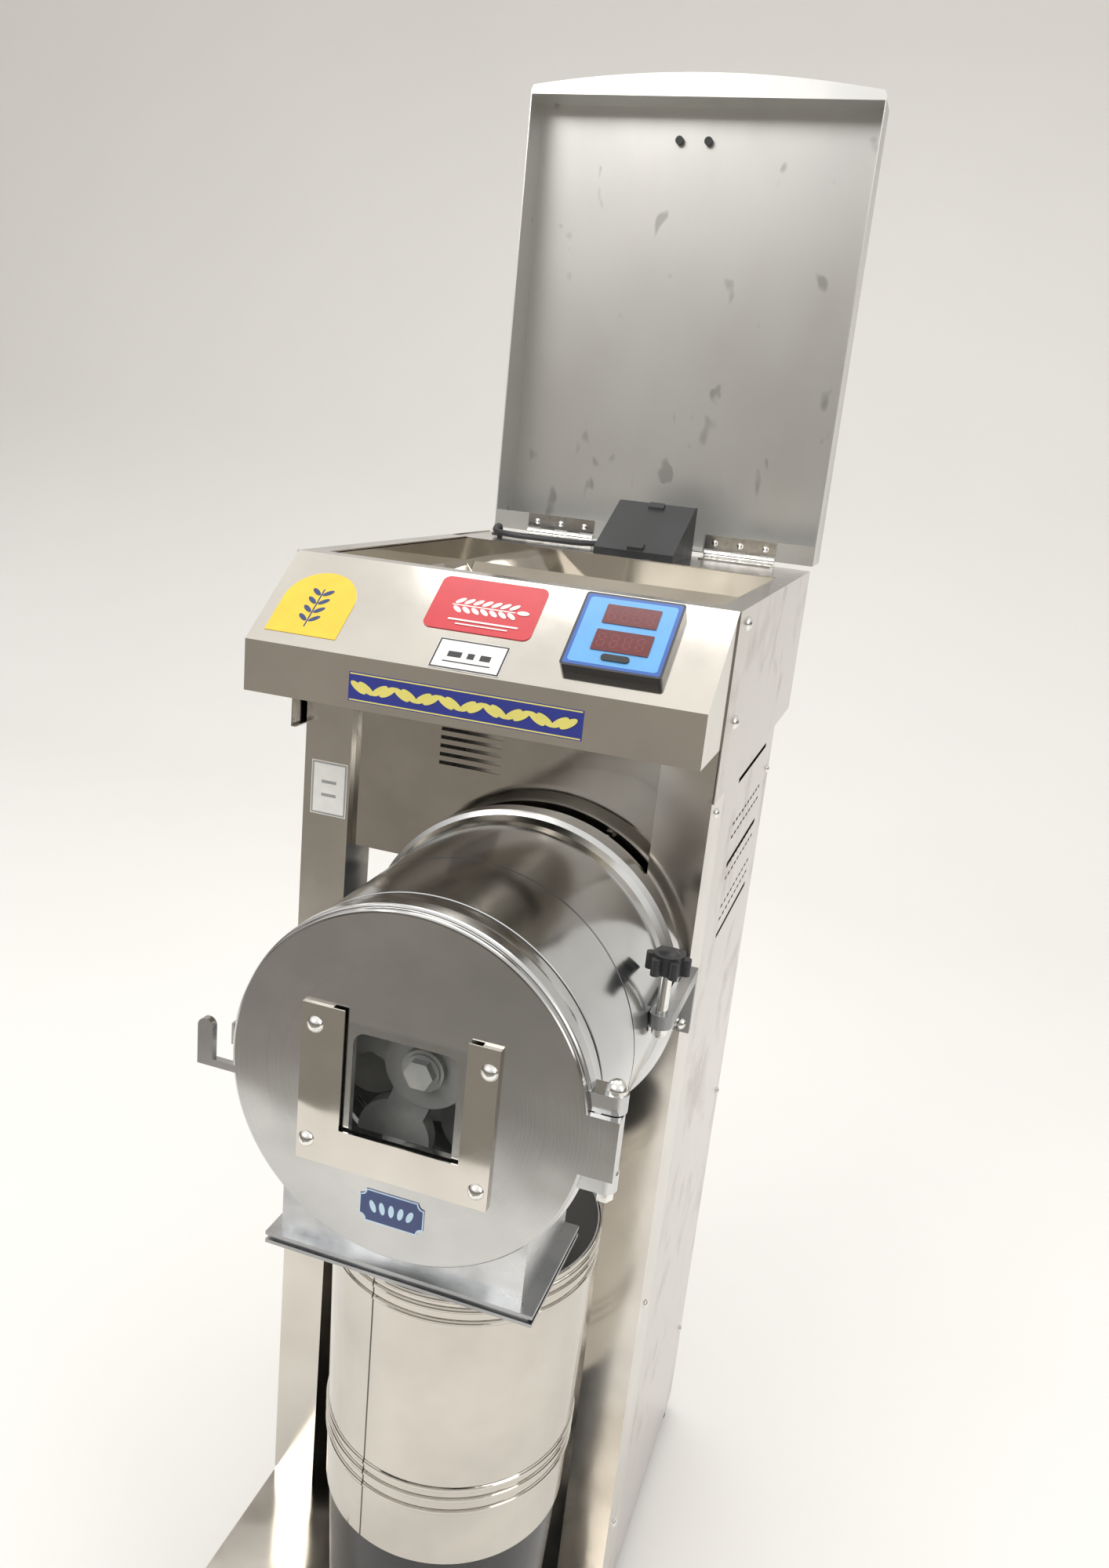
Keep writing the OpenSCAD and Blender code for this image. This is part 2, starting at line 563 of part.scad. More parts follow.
// ---------------------------------------------------------------- door
module door_disc() color(cast) {
    knuckle_h = 23.4;
    difference() {
        union() {
            turned(concat([[0, lip_y - 0.3], [0, door_y]],
                [for (a = [90:-30:0]) [door_r - 2.5 + 2.5 * cos(a), door_y + 2.5 - 2.5 * sin(a)]],
                [[door_r, lip_y - 0.3], [shell_in - 1, lip_y - 0.3], [shell_in - 3, lip_y + 6],
                 [shell_in - 9, lip_y + 6], [shell_in - 9, lip_y - 0.3]]));
            translate([pin_x, pin_y, axis_z - knuckle_h]) cylinder(r = 8, h = 2 * knuckle_h, $fn = 40);
            span([axis_x + 120, door_y, axis_z - knuckle_h], [pin_x, lip_y - 0.4, axis_z + knuckle_h]);
            span([pin_x - 7, door_y, axis_z - knuckle_h], [pin_x + 8, pin_y, axis_z + knuckle_h]);
            span([axis_x - 169, door_y, axis_z - 20], [axis_x - 130, lip_y - 0.3, axis_z - 14]);
            span([axis_x - 169, door_y, axis_z - 20], [axis_x - 156, lip_y - 0.3, axis_z + 12]);
            translate([axis_x - 162.5, door_y, axis_z + 12]) rotate([-90, 0, 0]) cylinder(r = 6.5, h = lip_y - 0.3 - door_y);
        }
        translate([pin_x, pin_y, axis_z - 60]) cylinder(r = 4.0, h = 120, $fn = 40);
        span([axis_x - 156, door_y - 1, axis_z - 14], [axis_x - 147, lip_y + 1, axis_z + 40]);
        translate([axis_x + 1, door_y - 5, axis_z]) rotate([-90, 0, 0]) linear_extrude(30) {
            translate([-41, -30]) square([82, 70]);
            translate([-31, -40]) square([62, 20]);
            for (x = [-31, 31]) translate([x, -30]) circle(10, $fn = 32);
        }
    }
}

// Window frame and screws, from the door's centre.
module window_bracket() color(mirror_steel) translate([axis_x, 0, axis_z]) {
    face = door_y - 3.9;
    span([-80, face, -72], [-46, face + sheet, 56]);
    span([49, face, -72], [73, face + sheet, 56]);
    span([-80, face, -72], [73, face + sheet, -41]);
    span([-80, face + sheet, -72], [-56, door_y, 56]);
    span([59, face + sheet, -72], [73, door_y, 56]);
    span([-80, face + sheet, -72], [73, door_y, -53]);
}
module bracket_screws() color(steel) for (p = [[-69, 40], [-72, -55], [66, 38], [64, -58]])
    translate([axis_x + p[0], door_y - 3.9, axis_z + p[1]]) rotate([90, 0, 0]) dome(6.5, 4.5);
module door_label() color([0.10, 0.16, 0.38]) translate([axis_x - 1, door_y, axis_z - 97.5]) rotate([90, 0, 0])
    linear_extrude(0.8) difference() {
        square([52, 27], center = true);
        for (x = [-26, 26], y = [-13.5, 13.5]) translate([x, y]) circle(5, $fn = 24);
    }
module window_pane() color([0.8, 0.85, 0.88, 0.35]) translate([axis_x, 0, axis_z])
    span([-55.5, door_y - 2.4, -52.5], [58.5, door_y - 0.35, 46]);

module swing_bolt() color(steel) difference() {
    union() {
        translate([bolt_x - 4, bolt_y, bolt_z]) rotate([0, 90, 0]) cylinder(r = 7, h = 8);
        rod_y(bolt_x, bolt_z, bolt_y, bolt_y + 70, 3.5);
    }
    translate([bolt_x - 10, bolt_y, bolt_z]) rotate([0, 90, 0]) cylinder(r = 3.05, h = 20, $fn = 32);
}
module clamp_nut() color(dark) difference() {
    union() {
        rod_y(bolt_x, bolt_z, bolt_y + 51, bolt_y + 65, 9);
        for (k = [0:7]) translate([bolt_x, bolt_y + 51, bolt_z]) rotate([0, k * 45, 0])
            translate([7.6, 0, 0]) rotate([-90, 0, 0]) cylinder(r = 1.8, h = 14, $fn = 16);
    }
    rod_y(bolt_x, bolt_z, bolt_y + 45, bolt_y + 72, 3.55);
}

// ---------------------------------------------------------------- rotor
module rotor_hub() color(grey) {
    difference() {
        rod_y(axis_x, axis_z, -212, -40, 34);
        rod_y(axis_x, axis_z, -213, -39, shaft_r);
    }
}
// A four-armed plate with round lobes.
module beater_plate(y, a) translate([axis_x, y, axis_z]) rotate([-90, 0, 0]) rotate([0, 0, a])
    linear_extrude(12) difference() {
        union() {
            for (k = [0:3]) rotate(k * 90) {
                translate([0, -16]) square([beater_r - 22, 32]);
                translate([beater_r - 30, 0]) circle(30, $fn = 48);
            }
        }
        circle(34);
    }
module beaters() color(grey) for (k = [0:4]) beater_plate(-210 + k * 38, 20 + k * 45);
module rotor_shaft() color(steel) {
    rod_y(axis_x, axis_z, -220, 336, shaft_r);
    rod_y(axis_x, axis_z, -218, -212, 17);
    translate([axis_x, -218, axis_z]) rotate([90, 0, 0]) cylinder(r = 12, h = 9, $fn = 6);
    difference() {
        rod_y(axis_x, axis_z, 308, 314, 70);
        for (k = [0:7]) translate([axis_x, 300, axis_z]) rotate([0, k * 45, 0]) translate([30, 0, -3]) cube([32, 30, 14]);
    }
}

module clamp_stud() color(steel) translate([knob_x, knob_y, 785]) {
    cylinder(r = 5, h = 55);
    cylinder(r = 6.6, h = 5);
    rotate([180, 0, 0]) dome(6.6, 4);
}
module star_knob() color(dark) translate([knob_x, knob_y, 840]) {
    cylinder(r = 12.5, h = 16);
    for (k = [0:5]) rotate([0, 0, k * 60]) {
        translate([0, -4, 0]) cube([14.5, 8, 14]);
        translate([14.5, 0, 0]) cylinder(r = 4, h = 14, $fn = 32);
    }
    translate([0, 0, 16]) dome(9, 3);
}

// ---------------------------------------------------------------- flour container
module flour_container() color(mirror_steel) translate([can_x, can_y, can_z]) {
    foot_r = can_r - 6;
    bead = 1.8;
    beads = [61, 74, 85, 257, 269, 278];
    slope = (can_r - foot_r) / can_h;
    wall = concat([[0, 0], [foot_r - 3, 0], [foot_r, 3]],
        [for (b = beads, a = [-90:30:90]) [foot_r + slope * b + bead * cos(a), b + 2.6 * sin(a)]],
        [[can_r, can_h], [can_r - 2.5, can_h], [can_r - 2.5, can_h - 3]],
        [[foot_r - sheet - 0.2, 3], [0, 3]]);
    rotate_extrude($fn = 96) polygon(wall);
}

// ---------------------------------------------------------------- the parts
place() base_tray();
place() rubber_feet();
place() left_post();
place() right_post();
place() left_side_panel();
place() right_side_panel();
place() rear_panel();
place() upper_shell();
place() console_shell();
place() front_panel();
place() rear_deck();
place() hopper();
place() feed_chute();
place() feed_gate();
place() panel_bolts();
place() deck_hinge_leaves();
place() junction_box();
place() box_cable();
place() deck_grommet();
place() display_housing();
place() display_windows();
place() display_nameplate();
place() energy_label();
place() badge_plate();
place() rating_plate();
place() fascia_strip();
place() post_label();
place() motor_body();
place() motor_end_bells();
place() motor_terminal_box();
place() motor_rails();
place() housing_crossbar();
place() rear_housing();
place() front_housing();
place() back_plate();
place() screen();
place() discharge_duct();
place() outlet_flange();
place() door_hinge_pin();
place() side_bracket();
place() housing_bolts();
place() container_stand();
place() cord_gland();
place() lid_shell();
place() lid_hinge_leaves();
place() lid_handle();
place() door_disc();
place() window_bracket();
place() bracket_screws();
place() door_label();
place() window_pane();
place() swing_bolt();
place() clamp_nut();
place() rotor_hub();
place() beaters();
place() rotor_shaft();
place() star_knob();
place() clamp_stud();
place() flour_container();
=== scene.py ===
"""Looks of the hammer mill: materials, printed labels, turned drum, container, studio and camera."""

import math

import bmesh
import bpy
from mathutils import Matrix, Vector


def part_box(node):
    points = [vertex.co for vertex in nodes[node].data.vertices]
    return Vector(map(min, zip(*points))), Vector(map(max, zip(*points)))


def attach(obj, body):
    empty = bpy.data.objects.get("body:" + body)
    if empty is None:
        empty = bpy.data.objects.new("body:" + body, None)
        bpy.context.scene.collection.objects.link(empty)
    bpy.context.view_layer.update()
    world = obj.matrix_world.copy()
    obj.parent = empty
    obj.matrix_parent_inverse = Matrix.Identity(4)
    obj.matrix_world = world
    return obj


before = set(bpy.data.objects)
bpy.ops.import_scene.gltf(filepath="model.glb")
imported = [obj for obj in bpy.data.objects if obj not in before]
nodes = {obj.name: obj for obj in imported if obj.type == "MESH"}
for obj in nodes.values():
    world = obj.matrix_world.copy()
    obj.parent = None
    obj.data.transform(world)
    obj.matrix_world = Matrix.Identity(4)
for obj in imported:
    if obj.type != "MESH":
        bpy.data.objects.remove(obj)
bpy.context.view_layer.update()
MM = 0.001

# ---------------------------------------------------------------- places, from the frame
SHELL_LOW, SHELL_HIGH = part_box("upper_shell")
POST_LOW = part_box("left_post")[0]
TRAY_HEIGHT = 82          # tray top above the cabinet's datum, mm
# The cabinet's datum: middle and front of the hopper box, side panels' lower edges
DATUM = Vector(((SHELL_LOW.x + SHELL_HIGH.x) / 2, SHELL_LOW.y, POST_LOW.z - TRAY_HEIGHT * MM))
RIM_HEIGHT = 1122
SLOPE_RUN, SLOPE_DROP = 83, 69
SLOPE = math.atan2(SLOPE_DROP, SLOPE_RUN)
AXIS_X, AXIS_Z = 47, 780  # drum's axis, mm from the datum
DOOR_FACE = -255
POST_FACE = 20
FLOOR_FRONT = 1.5         # how far the floor reaches in front of the machine, m
# Joints round the barrel: where its halves meet, and the front lip
SEAMS = [DATUM.y + y * MM for y in (-132, -218)]
SEAM_HALF = 1.2 * MM
CAN_LOW, CAN_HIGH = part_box("flour_container")
# Inside the box's side, the middle of the container's wall at its foot and at its rim
CAN_WALL = 8.3 * MM, 2.8 * MM
CAN_SEAM, CAN_SEAM_HALF = -36 * MM, 0.8 * MM


def at(x, y, z):
    """A point given in millimetres from the cabinet's datum, in the row frame."""
    return DATUM + Vector((x, y, z)) * MM


def plate_frame(x, y, z, tilt=math.pi / 2):
    """A frame on a plate: X to the right, Y up the plate, Z out of it. Its unit is a millimetre."""
    return Matrix.Translation(at(x, y, z)) @ Matrix.Rotation(tilt, 4, "X") @ Matrix.Scale(MM, 4)


# ---------------------------------------------------------------- node helpers
class Shader:
    """A principled material with short ways to add nodes."""

    def __init__(self, name, color, metallic=0.0, roughness=0.5, **sockets):
        self.mat = bpy.data.materials.new(name)
        self.mat.use_nodes = True
        self.tree = self.mat.node_tree
        self.out = self.tree.nodes["Principled BSDF"]
        self.out.inputs["Base Color"].default_value = (*color, 1)
        self.out.inputs["Metallic"].default_value = metallic
        self.out.inputs["Roughness"].default_value = roughness
        for key, value in sockets.items():
            self.out.inputs[key.replace("_", " ")].default_value = value
        self.coords = self.tree.nodes.new("ShaderNodeTexCoord").outputs["Object"]
        self.normal = None

    def add(self, kind, **fields):
        made = self.tree.nodes.new(kind)
        for key, value in fields.items():
            setattr(made, key, value)
        return made

    def wire(self, a, b):
        self.tree.links.new(a, b)

    def stretched(self, scale, offset=(0, 0, 0)):
        """Object coordinates scaled on each axis."""
        made = self.add("ShaderNodeMapping")
        made.inputs["Scale"].default_value = scale
        made.inputs["Location"].default_value = offset
        self.wire(self.coords, made.inputs["Vector"])
        return made.outputs["Vector"]

    def noise(self, scale=(1, 1, 1), size=1.0, detail=3.0, rough=0.55, vector=None, distort=0.0):
        made = self.add("ShaderNodeTexNoise")
        made.inputs["Scale"].default_value = size
        made.inputs["Detail"].default_value = detail
        made.inputs["Roughness"].default_value = rough
        made.inputs["Distortion"].default_value = distort
        self.wire(vector or self.stretched(scale), made.inputs["Vector"])
        return made.outputs["Fac"]

    def spread(self, value, low, high, to_low=0.0, to_high=1.0):
        """Maps low..high of a value to a new range, clamped."""
        made = self.add("ShaderNodeMapRange")
        for key, number in (("From Min", low), ("From Max", high), ("To Min", to_low), ("To Max", to_high)):
            made.inputs[key].default_value = number
        self.wire(value, made.inputs["Value"])
        return made.outputs["Result"]

    def maths(self, how, a, b=0.0):
        made = self.add("ShaderNodeMath", operation=how)
        for slot_index, value in enumerate((a, b)):
            if isinstance(value, (int, float)):
                made.inputs[slot_index].default_value = value
            else:
                self.wire(value, made.inputs[slot_index])
        return made.outputs[0]

    def mix(self, factor, a, b):
        """Mixes two colours, each a socket or a tuple."""
        made = self.add("ShaderNodeMix", data_type="RGBA")
        self.wire(factor, made.inputs["Factor"])
        for key, value in ((6, a), (7, b)):
            if isinstance(value, tuple):
                made.inputs[key].default_value = (*value, 1)
            else:
                self.wire(value, made.inputs[key])
        return made.outputs[2]

    def radius(self):
        """Distance from the drum's axis."""
        centre = at(AXIS_X, 0, AXIS_Z)
        shift = self.stretched((1, 0, 1), (-centre.x, 0, -centre.z))
        made = self.add("ShaderNodeVectorMath", operation="LENGTH")
        self.wire(shift, made.inputs[0])
        return made.outputs["Value"]

    def rings(self, value, size):
        """Noise that only changes along one value, for turned or brushed marks."""
        made = self.add("ShaderNodeTexNoise", noise_dimensions="1D")
        made.inputs["Scale"].default_value = size
        made.inputs["Detail"].default_value = 4.0
        self.wire(value, made.inputs["W"])
        return made.outputs["Fac"]

    def bump(self, height, depth):
        """Adds a height in metres to the surface."""
        made = self.add("ShaderNodeBump")
        made.inputs["Distance"].default_value = depth
        self.wire(height, made.inputs["Height"])
        if self.normal:
            self.wire(self.normal, made.inputs["Normal"])
        self.normal = made.outputs["Normal"]
        self.wire(self.normal, self.out.inputs["Normal"])

    def color(self, socket):
        self.wire(socket, self.out.inputs["Base Color"])

    def rough(self, socket):
        self.wire(socket, self.out.inputs["Roughness"])


# ---------------------------------------------------------------- metals
def polished(name, color=(0.66, 0.63, 0.58), dark=(0.54, 0.51, 0.46), wave=0.0034, gloss=0.025):
    """Mirror-rolled stainless sheet: slow waves in the sheet, faint haze, hairline scratches."""
    s = Shader(name, color, metallic=1.0)
    s.color(s.mix(s.spread(s.noise(size=9, detail=4), 0.35, 0.75), color, dark))
    haze = s.noise(size=26, detail=6)
    s.rough(s.spread(haze, 0.35, 0.8, gloss, gloss + 0.07))
    s.bump(s.noise(scale=(1, 1, 0.55), size=5.5, detail=1.5), wave)
    s.bump(s.noise(scale=(1, 1, 0.04), size=900, detail=2), 0.0000012)
    return s.mat


def container_steel():
    """Spun steel of the container: bright outside with a seam and slight flutes, dull and pale inside."""
    s = Shader("container_steel", (0.82, 0.79, 0.74), metallic=1.0)
    middle = CAN_LOW.lerp(CAN_HIGH, 0.5)
    wall = (CAN_HIGH.x - CAN_LOW.x) / 2
    shift = s.stretched((1, 1, 0), (-middle.x, -middle.y, 0))
    away = s.add("ShaderNodeVectorMath", operation="LENGTH")
    s.wire(shift, away.inputs[0])
    # 1 on the outer skin, 0 on the inner one; the wall leans a little, so the limit follows the height
    split = s.add("ShaderNodeSeparateXYZ")
    s.wire(s.coords, split.inputs[0])
    limit = s.spread(split.outputs["Z"], CAN_LOW.z, CAN_HIGH.z, wall - CAN_WALL[0], wall - CAN_WALL[1])
    outer = s.maths("GREATER_THAN", away.outputs["Value"], limit)
    front = s.maths("LESS_THAN", split.outputs["Y"], middle.y)
    seam = s.maths("COMPARE", split.outputs["X"], middle.x + CAN_SEAM)
    seam.node.inputs[2].default_value = CAN_SEAM_HALF
    seam = s.maths("MULTIPLY", seam, front)
    tone = s.mix(s.spread(s.noise(size=9, detail=4), 0.35, 0.75), (0.62, 0.59, 0.54), (0.50, 0.47, 0.43))
    s.color(s.mix(outer, (0.50, 0.50, 0.49), s.mix(seam, tone, (0.10, 0.09, 0.08))))
    s.rough(s.spread(outer, 0, 1, 0.55, 0.10))
    s.wire(s.spread(outer, 0, 1, 0.15, 1.0), s.out.inputs["Metallic"])
    s.bump(s.noise(scale=(1, 1, 0.14), size=20, detail=3), 0.0016)
    return s.mat


def satin(name, color, grain=(1, 1, 0.03), low=0.16, high=0.30):
    """Brushed sheet with hand marks."""
    s = Shader(name, color, metallic=1.0)
    marks = s.spread(s.noise(size=14, detail=5, distort=0.4), 0.52, 0.72)
    s.color(s.mix(marks, color, tuple(c * 0.86 for c in color)))
    brush = s.noise(scale=grain, size=700, detail=3)
    s.rough(s.spread(s.maths("ADD", brush, marks), 0.3, 1.5, low, high))
    s.bump(s.noise(size=4.5, detail=1), 0.0016)
    s.bump(brush, 0.000003)
    return s.mat


def lid_sheet():
    """Dull inner face of the lid: cloudy haze, drips and dark finger marks."""
    s = Shader("lid_sheet", (0.62, 0.62, 0.60), metallic=1.0)
    cloud = s.spread(s.noise(scale=(1, 1, 0.45), size=5, detail=6), 0.35, 0.7)
    tone = s.mix(cloud, (0.74, 0.74, 0.72), (0.61, 0.62, 0.61))
    spots = s.spread(s.noise(scale=(1.2, 1, 0.7), size=24, detail=2, distort=0.3), 0.665, 0.72)
    tone = s.mix(s.maths("MULTIPLY", spots, 0.6), tone, (0.34, 0.34, 0.33))
    s.color(tone)
    s.rough(s.spread(cloud, 0, 1, 0.34, 0.46))
    s.bump(s.noise(size=3.2, detail=1.5), 0.0022)
    s.bump(s.noise(scale=(0.05, 1, 1), size=600, detail=2), 0.000008)
    return s.mat


def turned_shell():
    """Skimmed aluminium barrel: fine rings along its length and cloudy buffing."""
    s = Shader("turned_shell", (0.72, 0.73, 0.74), metallic=1.0, Anisotropic=0.8)
    grain = s.add("ShaderNodeTangent", direction_type="RADIAL", axis="Y")
    s.wire(grain.outputs[0], s.out.inputs["Tangent"])
    along = s.add("ShaderNodeSeparateXYZ")
    s.wire(s.coords, along.inputs[0])
    ring = s.rings(along.outputs["Y"], 1500)
    cloud = s.noise(scale=(1, 0.5, 1), size=10, detail=5)
    tone = s.mix(s.spread(cloud, 0.35, 0.7), (0.68, 0.69, 0.69), (0.52, 0.53, 0.55))
    for joint in SEAMS:
        close = s.maths("COMPARE", along.outputs["Y"], joint)
        close.node.inputs[2].default_value = SEAM_HALF
        tone = s.mix(close, tone, (0.07, 0.07, 0.07))
    s.color(tone)
    s.rough(s.spread(s.maths("ADD", ring, cloud), 0.6, 1.4, 0.12, 0.22))
    s.bump(s.noise(size=8, detail=2), 0.0006)
    return s.mat


def turned_face():
    """Faced aluminium disc: concentric tool marks, a few deeper rings, buffed clouds."""
    s = Shader("turned_face", (0.64, 0.645, 0.64), metallic=1.0)
    radius = s.radius()
    ring = s.rings(radius, 1400)
    coarse = s.rings(radius, 140)
    cloud = s.noise(size=7, detail=5)
    tone = s.mix(s.spread(cloud, 0.35, 0.7), (0.60, 0.60, 0.59), (0.43, 0.43, 0.43))
    s.color(s.mix(s.spread(coarse, 0.6, 0.9, 0, 0.25), tone, (0.48, 0.48, 0.48)))
    s.rough(s.spread(s.maths("ADD", ring, cloud), 0.6, 1.4, 0.10, 0.19))
    s.bump(s.noise(size=6, detail=2), 0.0022)
    s.bump(coarse, 0.000004)
    s.bump(ring, 0.000003)
    return s.mat


def raw_cast(name, tone):
    """Cast and filed aluminium of the duct and its rails."""
    s = Shader(name, (0.62, 0.63, 0.63), metallic=1.0)
    cloud = s.noise(size=16, detail=6)
    s.color(s.mix(s.spread(cloud, 0.4, 0.7), (0.66 * tone, 0.67 * tone, 0.68 * tone),
                  (0.44 * tone, 0.45 * tone, 0.47 * tone)))
    s.rough(s.spread(cloud, 0.3, 0.7, 0.26, 0.44))
    s.bump(s.noise(scale=(0.1, 1, 1), size=500, detail=3), 0.00002)
    s.bump(s.noise(size=120, detail=4), 0.00006)
    return s.mat


def bright_bolt():
    s = Shader("bright_bolt", (0.80, 0.80, 0.79), metallic=1.0)
    wear = s.noise(size=180, detail=4)
    s.rough(s.spread(wear, 0.3, 0.7, 0.08, 0.22))
    s.color(s.mix(s.spread(wear, 0.5, 0.75), (0.82, 0.82, 0.80), (0.60, 0.58, 0.54)))
    return s.mat


def ground_iron(name, color):
    """Ground steel of the rotor with a film of flour dust."""
    s = Shader(name, color, metallic=0.25)
    dust = s.spread(s.noise(size=30, detail=6), 0.45, 0.7)
    s.color(s.mix(dust, color, (0.66, 0.66, 0.63)))
    s.rough(s.spread(dust, 0, 1, 0.38, 0.62))
    s.bump(s.noise(size=260, detail=5), 0.00005)
    return s.mat


# ---------------------------------------------------------------- paints and plastics
def moulded(name, color, rough=0.5, pebble=0.00005, size=900):
    """Moulded plastic or rubber with fine texture and lighter rubbed patches."""
    s = Shader(name, color, roughness=rough)
    cloud = s.noise(size=22, detail=5)
    s.color(s.mix(s.spread(cloud, 0.4, 0.75), color, tuple(min(1, c * 1.5 + 0.012) for c in color)))
    s.rough(s.spread(cloud, 0.3, 0.7, rough - 0.07, rough + 0.09))
    s.bump(s.noise(size=size, detail=3), pebble)
    return s.mat


def printed(name, color, rough=0.28):
    """Printed vinyl under a clear film, with slight unevenness."""
    s = Shader(name, color, roughness=rough, Coat_Weight=0.5, Coat_Roughness=0.12)
    cloud = s.noise(size=60, detail=4)
    s.color(s.mix(s.spread(cloud, 0.3, 0.7), color, tuple(c * 0.90 for c in color)))
    s.bump(s.noise(size=70, detail=2), 0.00006)
    return s.mat


def clear_sheet():
    """Clear acrylic with light scuffs."""
    s = Shader("clear_sheet", (0.06, 0.065, 0.065), roughness=0.03, IOR=1.3, Alpha=0.05)
    s.rough(s.spread(s.noise(size=40, detail=5), 0.4, 0.7, 0.02, 0.10))
    return s.mat


M = {
    "mirror": polished("mirror_sheet"),
    "mirror_post": polished("mirror_post", (0.68, 0.65, 0.60), (0.57, 0.54, 0.49), 0.0045, 0.14),
    # The tray's and front panel's copies of the polished sheet are darker: painted shade on the low tray and in the
    # recessed front panel.
    "mirror_tray_painted_shade": polished("mirror_tray_painted_shade", (0.58, 0.55, 0.50), (0.44, 0.41, 0.37), 0.006, 0.09),
    "mirror_panel_painted_shade": polished("mirror_panel_painted_shade", (0.56, 0.53, 0.48), (0.42, 0.39, 0.35), 0.006, 0.07),
    "mirror_can": container_steel(),
    # The console's copy of the polished sheet is lighter: painted light on its upward slope.
    "mirror_console_painted_light": polished("mirror_console_painted_light", (0.72, 0.69, 0.63), (0.63, 0.60, 0.55), 0.0009, 0.08),
    "sheet": satin("satin_sheet", (0.58, 0.55, 0.52)),
    "lid": lid_sheet(),
    "barrel": turned_shell(),
    "door": turned_face(),
    "cast": raw_cast("raw_cast", 1.0),
    # The outlet flange and side bracket take the cast colours at 0.62 of their brightness.
    "rail": raw_cast("darker_cast_rail", 0.62),
    "bolt": bright_bolt(),
    "iron": ground_iron("ground_iron", (0.50, 0.52, 0.52)),
    "motor": moulded("motor_enamel", (0.13, 0.17, 0.21), 0.35, 0.0001, 300),
    # This black is the nameplate's own colour and also painted shade on the container stand.
    "gloss_black_and_shade": moulded("black_enamel_and_painted_shade", (0.012, 0.012, 0.014), 0.22, 0.00004, 200),
    "plastic": moulded("black_plastic", (0.018, 0.019, 0.022), 0.42),
    "rubber": moulded("foot_rubber", (0.02, 0.02, 0.02), 0.7, 0.0001, 500),
    "clear": clear_sheet(),
    "white": printed("print_white", (0.86, 0.86, 0.84)),
    "black": printed("print_black", (0.02, 0.02, 0.025)),
    "red": printed("print_red", (0.62, 0.035, 0.05)),
    "yellow": printed("print_yellow", (0.85, 0.60, 0.04)),
    "lemon": printed("print_lemon", (0.88, 0.80, 0.22)),
    "blue": printed("print_blue", (0.030, 0.045, 0.30)),
    "navy": printed("print_navy", (0.018, 0.045, 0.17)),
    "sky": printed("print_sky", (0.12, 0.40, 0.78)),
    "pale": printed("print_pale", (0.55, 0.75, 0.92)),
    "deep": printed("print_deep", (0.02, 0.11, 0.45)),
    "grey": printed("print_grey", (0.35, 0.36, 0.36)),
    "smoked": printed("smoked_red", (0.13, 0.008, 0.012), 0.14),
    "segment": printed("unlit_segment", (0.22, 0.020, 0.026), 0.3),
}

FINISH = {
    "mirror": ["hopper", "window_bracket"],
    "mirror_post": ["left_post", "right_post"],
    # Tray and front panel take the darker copies: painted shade.
    "mirror_tray_painted_shade": ["base_tray"],
    "mirror_panel_painted_shade": ["front_panel"],
    # The console takes the lighter copy: painted light.
    "mirror_console_painted_light": ["console_shell"],
    "mirror_can": ["flour_container"],
    "sheet": ["left_side_panel", "right_side_panel", "rear_panel", "upper_shell", "rear_deck", "feed_chute",
              "feed_gate", "housing_crossbar", "screen"],
    "lid": ["lid_shell"],
    "barrel": ["rear_housing", "front_housing"],
    "door": ["door_disc"],
    "cast": ["back_plate", "discharge_duct"],
    "rail": ["outlet_flange", "side_bracket"],
    "bolt": ["panel_bolts", "housing_bolts", "bracket_screws", "door_hinge_pin", "swing_bolt", "clamp_stud",
             "deck_hinge_leaves", "lid_hinge_leaves"],
    "iron": ["rotor_hub", "beaters", "rotor_shaft"],
    "motor": ["motor_body", "motor_end_bells", "motor_terminal_box", "motor_rails"],
    # The container stand's black is painted shade for the dark gap under the container; the nameplate's black is its
    # own colour.
    "gloss_black_and_shade": ["container_stand", "display_nameplate"],
    "plastic": ["junction_box", "deck_grommet", "cord_gland", "lid_handle", "clamp_nut", "star_knob", "box_cable"],
    "rubber": ["rubber_feet"],
    "clear": ["window_pane"],
    "black": ["display_housing"],
    "smoked": ["display_windows"],
    "white": ["rating_plate", "post_label"],
    "yellow": ["energy_label"],
    "red": ["badge_plate"],
    "blue": ["fascia_strip"],
    "navy": ["door_label"],
}
for finish, names in FINISH.items():
    for name in names:
        node = nodes[name]
        node.data.materials.clear()
        node.data.materials.append(M[finish])

# ---------------------------------------------------------------- softened edges on the CAD pieces
BEVELS = {
    0.0004: ["left_post", "right_post", "console_shell", "upper_shell", "base_tray", "front_panel", "rear_deck",
             "window_bracket", "lid_shell", "left_side_panel", "right_side_panel", "lid_hinge_leaves",
             "deck_hinge_leaves", "fascia_strip", "badge_plate", "rating_plate", "door_label"],
    0.0009: ["outlet_flange", "discharge_duct", "side_bracket", "door_disc", "front_housing", "rear_housing",
             "junction_box", "display_housing", "cord_gland", "housing_crossbar", "motor_rails", "clamp_nut"],
    0.0016: ["star_knob", "lid_handle", "rubber_feet", "motor_body", "motor_end_bells", "beaters"],
}
for width, names in BEVELS.items():
    for name in names:
        bevel = nodes[name].modifiers.new("edge", "BEVEL")
        bevel.width = width
        bevel.segments = 2
        bevel.limit_method = "ANGLE"
        bevel.angle_limit = math.radians(35)
        bevel.harden_normals = True


